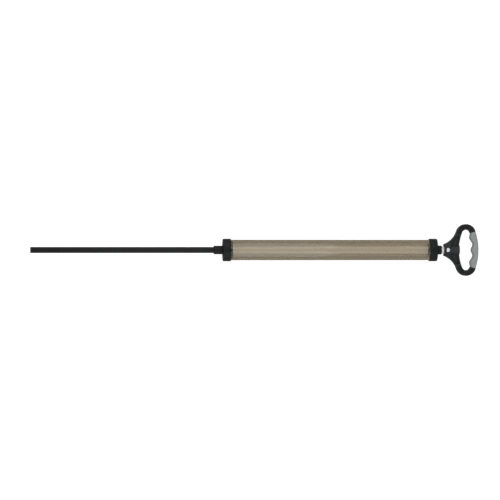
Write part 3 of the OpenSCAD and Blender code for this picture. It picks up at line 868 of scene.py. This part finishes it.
hub_side = crossing_y(FLARE, FLARE_R, HUB_L)
hub_half = arc(FLARE, FLARE_R, bearing(FLARE, (0, HUB_W / 2)),
               bearing(FLARE, (HUB_L, hub_side)), 12)
hub_outline = soften([(p.x, p.y, 0 if p.x else HUB_EDGE) for p in hub_half + flip(hub_half)])
hub_block = layer("hub_block", [hub_outline], 2 * BOSS_R, EDGE_ROUND, -CLEAR)
boss = turned("boss", [
    (hub.x + HUB_L / 2, 0), (hub.x + HUB_L / 2, BOSS_R - CLEAR, 0.8),
    (hub.x + BOSS_L, BOSS_R - CLEAR, 1.6), (hub.x + BOSS_L, 0)])
carve(rim_layer, web_layer, ring_floor(1), ring_floor(-1), hub_block, boss, operation="UNION")

# %% Fillets where the boss meets the web
FILLET, TOE, ROOT = 1.6, 2.5, 1.0


def fillet_bar(side, face):
    """Its hollow side is tangent to the boss and the web, and the rest is buried in them."""
    level = WEB_T / 2 + FILLET
    mid = Vector((math.sqrt((BOSS_R + FILLET) ** 2 - level ** 2), level))
    hollow = arc(mid, FILLET, bearing(mid, (0, 0)) + 2 * math.pi, 1.5 * math.pi, 8)
    section = hollow + [Vector((mid.x, ROOT)), Vector((BOSS_R - TOE, ROOT))]
    shape = bmesh.new()
    ends = [[shape.verts.new(((hub.x + x) * MM, side * p.x * MM, (AXIS_Z + face * p.y) * MM))
             for p in section] for x in (HUB_L - 1, OPENING_X)]
    for one, two in zip(range(len(section)), [*range(1, len(section)), 0]):
        shape.faces.new((ends[0][one], ends[0][two], ends[1][two], ends[1][one]))
    for ring in ends:
        shape.faces.new(ring)
    bmesh.ops.recalc_face_normals(shape, faces=shape.faces)
    return stand("boss_fillet", as_mesh("boss_fillet", shape))


carve(rim_layer, *[fillet_bar(side, face) for side in (1, -1) for face in (1, -1)],
      operation="UNION")
print("handle with fillets:", len(rim_layer.data.polygons), "faces")

# %% Ribs across the ring pockets
RIB_EDGE, RIB_SINK = 0.5, 0.6
step = (POCKET_TO - POCKET_FROM + POCKET_RIB) / POCKETS
first = POCKET_FROM + step - POCKET_RIB / 2
ring_mid = (LOBE_R + LOBE_IN_R) / 2
for side in (1, -1):
    rib = block_mesh("rib", (RING_W - 2 * EDGE_ROUND, math.radians(POCKET_RIB) * ring_mid,
                             RING_T - RIB_SINK), (ring_mid, 0, 0), RIB_EDGE)
    carve(rim_layer, repeated("ring_ribs", rib, POCKETS - 1, side * first, side * step, (0, 0, 1),
                              (hub.x + LOBE.x, side * LOBE.y, AXIS_Z)), operation="UNION")
print("handle with ribs:", len(rim_layer.data.polygons), "faces")

# %% Bores of the handle
BOLT_R, BOLT_DRILL = 2.5, 20
rod_bore = turned("rod_bore", [
    (hub.x - 1, 0), (hub.x - 1, rod_r + GAP), (end("piston_rod") + FIT, rod_r + GAP),
    (end("piston_rod") + FIT, 0)])
bolt_bore = turned("bolt_bore", [
    (-BOLT_DRILL, 0), (-BOLT_DRILL, BOLT_R + GAP), (BOLT_DRILL, BOLT_R + GAP),
    (BOLT_DRILL, 0)], around=32, height=0)


def upright(way):
    """Turns a piece made along X to stand on the bolt's place: 1 points it down, -1 up."""
    return (Matrix.Translation((BOLT[0] * MM, 0, AXIS_Z * MM))
            @ Matrix.Rotation(way * math.pi / 2, 4, "Y"))


bolt_bore.data.transform(upright(1))
carve(rim_layer, rod_bore, bolt_bore)
dress(rim_layer, handle_nylon_painted_lighter, "rod", "handle_body", crease=28)

# %% [markdown]
# ## Grip
#
# The soft grip follows a rule: its back is an arc, its front is a row of finger waves on a
# shallower arc, its ends are cut on a slant, and its section is a rounded oblong. A rule
# like that is made best by geometry nodes, which bend a plain cylinder to it: the height
# of a point picks the place along the grip and its angle picks the place round the
# section. The slanted ends make x depend on y and y on x, so the tree works them out
# three times, which is close enough here.

# %% The grip's node tree
rule, sizes = new_tree("finger_grip_rule", [(label, "Float") for label in [
    "Finger line", "Finger curve", "Wave", "Pitch", "Back line", "Back curve",
    "Half length", "Cut slope", "Thickness", "Squareness", "Soft end"]] + [
    ("Sides", "Int"), ("Rings", "Int"), ("Place", "Vector"), ("Finish", "Material")])
blank = add(rule, "GeometryNodeMeshCylinder", {
    "Vertices": sizes["Sides"], "Side Segments": sizes["Rings"], "Radius": 1.0, "Depth": 2.0},
    fill_type="TRIANGLE_FAN")
raw = add(rule, "ShaderNodeSeparateXYZ", {
    "Vector": add(rule, "GeometryNodeInputPosition")}).outputs
print("grip tree started with", len(rule.nodes), "nodes")

# %% Place along the grip, with the rings closer together at its ends
SOFT_FROM, SOFT_POWER = 0.965, 2.6
squared = add(rule, MATH, {0: raw["Z"], 1: raw["Z"]}, operation="MULTIPLY")
easing = add(rule, MATH, {0: squared, 1: -0.5, 2: 1.5}, operation="MULTIPLY_ADD")
along = add(rule, MATH, {0: easing, 1: raw["Z"]}, operation="MULTIPLY")
near_end = add(rule, "ShaderNodeMapRange", {
    "Value": add(rule, MATH, {0: along}, operation="ABSOLUTE"),
    "From Min": SOFT_FROM, "From Max": 1.0})
inset = add(rule, MATH, {
    0: add(rule, MATH, {0: near_end, 1: SOFT_POWER}, operation="POWER"),
    1: sizes["Soft end"]}, operation="MULTIPLY")
print("with the place along the grip it has", len(rule.nodes), "nodes")

# %% Place round the section: a circle squared off to a rounded oblong
power = add(rule, MATH, {0: 2.0, 1: sizes["Squareness"]}, operation="DIVIDE")
section = {}
for part in ("X", "Y"):
    size = add(rule, MATH, {0: raw[part]}, operation="ABSOLUTE")
    bulge = add(rule, MATH, {0: size, 1: power}, operation="POWER")
    sign = add(rule, MATH, {0: raw[part]}, operation="SIGN")
    section[part] = add(rule, MATH, {0: bulge, 1: sign}, operation="MULTIPLY")
across = add(rule, MATH, {0: section["X"], 1: 0.5, 2: 0.5}, operation="MULTIPLY_ADD")
half_thick = add(rule, MATH, {0: sizes["Thickness"], 1: 0.5}, operation="MULTIPLY")
depth = add(rule, MATH, {
    0: section["Y"],
    1: add(rule, MATH, {0: half_thick, 1: inset}, operation="SUBTRACT")},
    operation="MULTIPLY")
print("with the section it has", len(rule.nodes), "nodes")

# %% Front and back edges, worked out three times
y = add(rule, MATH, {0: along, 1: sizes["Half length"]}, operation="MULTIPLY")
for _ in range(3):
    y_squared = add(rule, MATH, {0: y, 1: y}, operation="MULTIPLY")
    edges = {}
    for edge in ("Finger", "Back"):
        curve = add(rule, MATH, {0: sizes[edge + " curve"], 1: -2.0}, operation="MULTIPLY")
        drop = add(rule, MATH, {0: y_squared, 1: curve}, operation="DIVIDE")
        edges[edge] = add(rule, MATH, {0: sizes[edge + " line"], 1: drop}, operation="ADD")
    turns = add(rule, MATH, {0: y, 1: sizes["Pitch"]}, operation="DIVIDE")
    phase = add(rule, MATH, {0: turns, 1: 2 * math.pi}, operation="MULTIPLY")
    wave = add(rule, MATH, {0: phase}, operation="COSINE")
    waved = add(rule, MATH, {0: wave, 1: sizes["Wave"]}, operation="MULTIPLY")
    rippled = add(rule, MATH, {0: edges["Finger"], 1: waved}, operation="SUBTRACT")
    front = add(rule, MATH, {0: rippled, 1: inset}, operation="ADD")
    back = add(rule, MATH, {0: edges["Back"], 1: inset}, operation="SUBTRACT")
    x = add(rule, "ShaderNodeMix", {"Factor": across, "A": front, "B": back}, data_type="FLOAT")
    slant = add(rule, MATH, {
        0: x, 1: sizes["Cut slope"], 2: sizes["Half length"]}, operation="MULTIPLY_ADD")
    y = add(rule, MATH, {0: slant, 1: along}, operation="MULTIPLY")

spot = add(rule, "ShaderNodeCombineXYZ", {"X": x, "Y": y, "Z": depth})
bent = add(rule, "GeometryNodeSetPosition", {
    "Geometry": blank,
    "Position": add(rule, "ShaderNodeVectorMath", {0: spot, 1: sizes["Place"]},
                    operation="ADD")})
end_tree(rule, bent, sizes["Finish"])

# %% Grip
FINGER_X, FINGER_R, FINGER_WAVE, FINGER_PITCH = 61.7, 113.0, 2.3, 25.6
BACK_R, GRIP_T, SOFT_END = 126.0, 24.0, 0.7
back_x = end("grip_pad") - hub.x - LOBE.x
grip = with_tree(
    stand("grip_moulding", bpy.data.meshes.new("grip_moulding")), rule,
    Finger_line=(FINGER_X - LOBE.x) * MM, Finger_curve=FINGER_R * MM, Wave=FINGER_WAVE * MM,
    Pitch=FINGER_PITCH * MM, Back_line=back_x * MM, Back_curve=BACK_R * MM,
    Half_length=LOBE.y * MM, Cut_slope=math.tan(CUT), Thickness=GRIP_T * MM, Squareness=3.2,
    Soft_end=SOFT_END * MM, Sides=72, Rings=220,
    Place=((hub.x + LOBE.x) * MM, 0.0, AXIS_Z * MM), Finish=soft_elastomer)
shape = bmesh.new()
shape.from_mesh(grip.data)
bmesh.ops.recalc_face_normals(shape, faces=shape.faces)
shape.to_mesh(grip.data)
shape.free()
dress(grip, soft_elastomer, "rod", "grip_pad", crease=50)

# %% [markdown]
# ## Handle bolt
#
# A two-part bolt holds the handle on the rod: a sleeve with a domed head on one face and a
# slotted screw on the other. The domes are turned, and the slot is cut.

# %% Handle bolt
HEAD_R, HEAD_H, SLOT_L, SLOT_W, SLOT_D = 4.35, 2.0, 12, 1.1, 0.9
SLEEVE_L, SLEEVE_HOLLOW_R, SLEEVE_WALL, SCREW_L, SCREW_R = 18, 1.65, 1, 16, 1.6


def bolt(name, way, shank_r, length, hollow_r=0):
    dome_r = (HEAD_R ** 2 + HEAD_H ** 2) / (2 * HEAD_H)
    dome = [(BOSS_R + HEAD_H - dome_r + dome_r * math.cos(a), dome_r * math.sin(a))
            for a in [math.asin(HEAD_R / dome_r) * k / 10 for k in range(11)]]
    corners = dome + [(BOSS_R, HEAD_R, 0.2), (BOSS_R, shank_r)]
    if hollow_r:
        corners += [(BOSS_R - length, shank_r, 0.2), (BOSS_R - length, hollow_r),
                    (BOSS_R - SLEEVE_WALL, hollow_r), (BOSS_R - SLEEVE_WALL, 0)]
    else:
        corners += [(BOSS_R - length, shank_r, 0.3), (BOSS_R - length, 0)]
    piece = turned(name, corners, around=48, height=0)
    piece.data.transform(upright(way))
    return piece


sleeve = bolt("bolt_sleeve_turning", -1, BOLT_R, SLEEVE_L, SLEEVE_HOLLOW_R)
dress(sleeve, bolt_stainless, "rod", "handle_bolt_sleeve")

screw = bolt("bolt_screw_turning", 1, SCREW_R, SCREW_L)
carve(screw, stand("slot_cutter", block_mesh(
    "slot_cutter", (SLOT_L, SLOT_W, 2),
    (BOLT[0], 0, AXIS_Z - BOSS_R - HEAD_H - 1 + SLOT_D))))
dress(screw, bolt_stainless, "rod", "handle_bolt_screw")

# %% [markdown]
# ## Small pieces kept from the frame
#
# The ferrule, gaskets, packing, washers and the like are the right shape already, so they
# stay as they are and only get their finishes.

# %% Finishes of the kept pieces
KEPT = {
    "tube_ferrule": natural_acetal, "tube_seal": nitrile_rubber, "bottom_gasket": nitrile_rubber,
    "top_gasket": nitrile_rubber, "guide_bush": bearing_plastic, "rod_packing": graphited_packing,
    "rod_end_plug": turned_stainless, "front_washer": turned_stainless,
    "lock_nut": turned_stainless, "rear_washer": turned_stainless,
}
for node, finish in KEPT.items():
    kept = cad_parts[node].data
    kept.materials.clear()
    kept.materials.append(finish)
print(len(KEPT), "nodes kept from the frame")

# %% [markdown]
# ## Studio
#
# The sampler lies on a plain pale card, under even light with two long soft boxes, one
# along each side, which draw the thin highlights along the black tube and the handle. The
# world is a little darker straight overhead, where a camera would stand. In such a studio
# the pale card burns out to white, and the card's glow does that: only the camera sees it,
# so the clear barrel and the shiny edges still show the card's own grey.

# %% Floor and lights
CARD_GREY, CARD_FIBRE, CARD_GLOW, CARD_SIZE = 0.49, 0.47, 0.8, 20
SKY, SKY_OVERHEAD, DARK_FROM = 0.85, 0.35, 0.9
BOX_L, BOX_W, BOX_WATTS, BOX_PLACE = 3.0, 0.8, 10, 1.5
scene = bpy.context.scene
scene.view_settings.view_transform = "Standard"

floor_finish, tree, place = new_finish("white_studio_floor")
fibre = add(tree, NOISE, {"Vector": place, "Scale": 40.0, "Detail": 2.0})
card = add(tree, "ShaderNodeMix", {
    "Factor": fibre, "A": (CARD_GREY, CARD_GREY, CARD_GREY, 1),
    "B": (CARD_FIBRE, CARD_FIBRE, CARD_FIBRE, 1)}, data_type="RGBA")
glow = add(tree, MATH, {
    0: add(tree, "ShaderNodeLightPath").outputs["Is Camera Ray"], 1: CARD_GLOW},
    operation="MULTIPLY")
paper = add(tree, "ShaderNodeBsdfPrincipled", {
    "Base Color": card, "Roughness": 0.9, "Specular IOR Level": 0.1,
    "Emission Color": (1, 1, 1, 1), "Emission Strength": glow})
add(tree, "ShaderNodeOutputMaterial", {"Surface": paper})

shape = bmesh.new()
bmesh.ops.create_grid(shape, x_segments=1, y_segments=1, size=CARD_SIZE)
floor = stand("studio_floor", as_mesh("studio_floor", shape))
floor.data.materials.append(floor_finish)

world = bpy.data.worlds.new("studio_world")
scene.world = world
world.use_nodes = True
world.node_tree.nodes.clear()
tree = world.node_tree
up = add(tree, "ShaderNodeSeparateXYZ", {
    "Vector": add(tree, "ShaderNodeTexCoord").outputs["Generated"]}).outputs["Z"]
overhead = add(tree, "ShaderNodeMapRange", {
    "Value": up, "From Min": DARK_FROM, "From Max": 1.0, "To Min": SKY, "To Max": SKY_OVERHEAD})
add(tree, "ShaderNodeOutputWorld", {"Surface": add(tree, "ShaderNodeBackground", {
    "Color": (1, 1, 1, 1), "Strength": overhead})})

for side in (1, -1):
    box = bpy.data.lights.new("soft_box", "AREA")
    box.shape, box.size, box.size_y, box.energy = "RECTANGLE", BOX_L, BOX_W, BOX_WATTS
    lamp = bpy.data.objects.new("soft_box", box)
    scene.collection.objects.link(lamp)
    lamp.location = (0, side * BOX_PLACE, BOX_PLACE)
    lamp.rotation_euler = (-lamp.location).to_track_quat("-Z", "X").to_euler()

# %% [markdown]
# ## Camera
#
# A long lens far above the middle, leaning a little towards the suction tip, so that the
# far end of each cap just shows.

# %% Camera
TARGET = Vector((-0.0118, 0, AXIS_Z * MM))
DISTANCE, LEAN, VIEW_WIDTH = 6.9, math.radians(4.42), 1.0868
look = Vector((math.sin(LEAN), 0, -math.cos(LEAN)))
lens = bpy.data.cameras.new("camera")
lens.lens = lens.sensor_width * DISTANCE / VIEW_WIDTH
lens.clip_end = 100
camera = bpy.data.objects.new("camera", lens)
scene.collection.objects.link(camera)
up_way = Vector((0, 1, 0))
right = look.cross(up_way)
aim = Matrix((right, up_way, -look)).transposed().to_4x4()
camera.matrix_world = Matrix.Translation(TARGET - look * DISTANCE) @ aim
scene.camera = camera
print("camera lens", round(lens.lens), "mm")
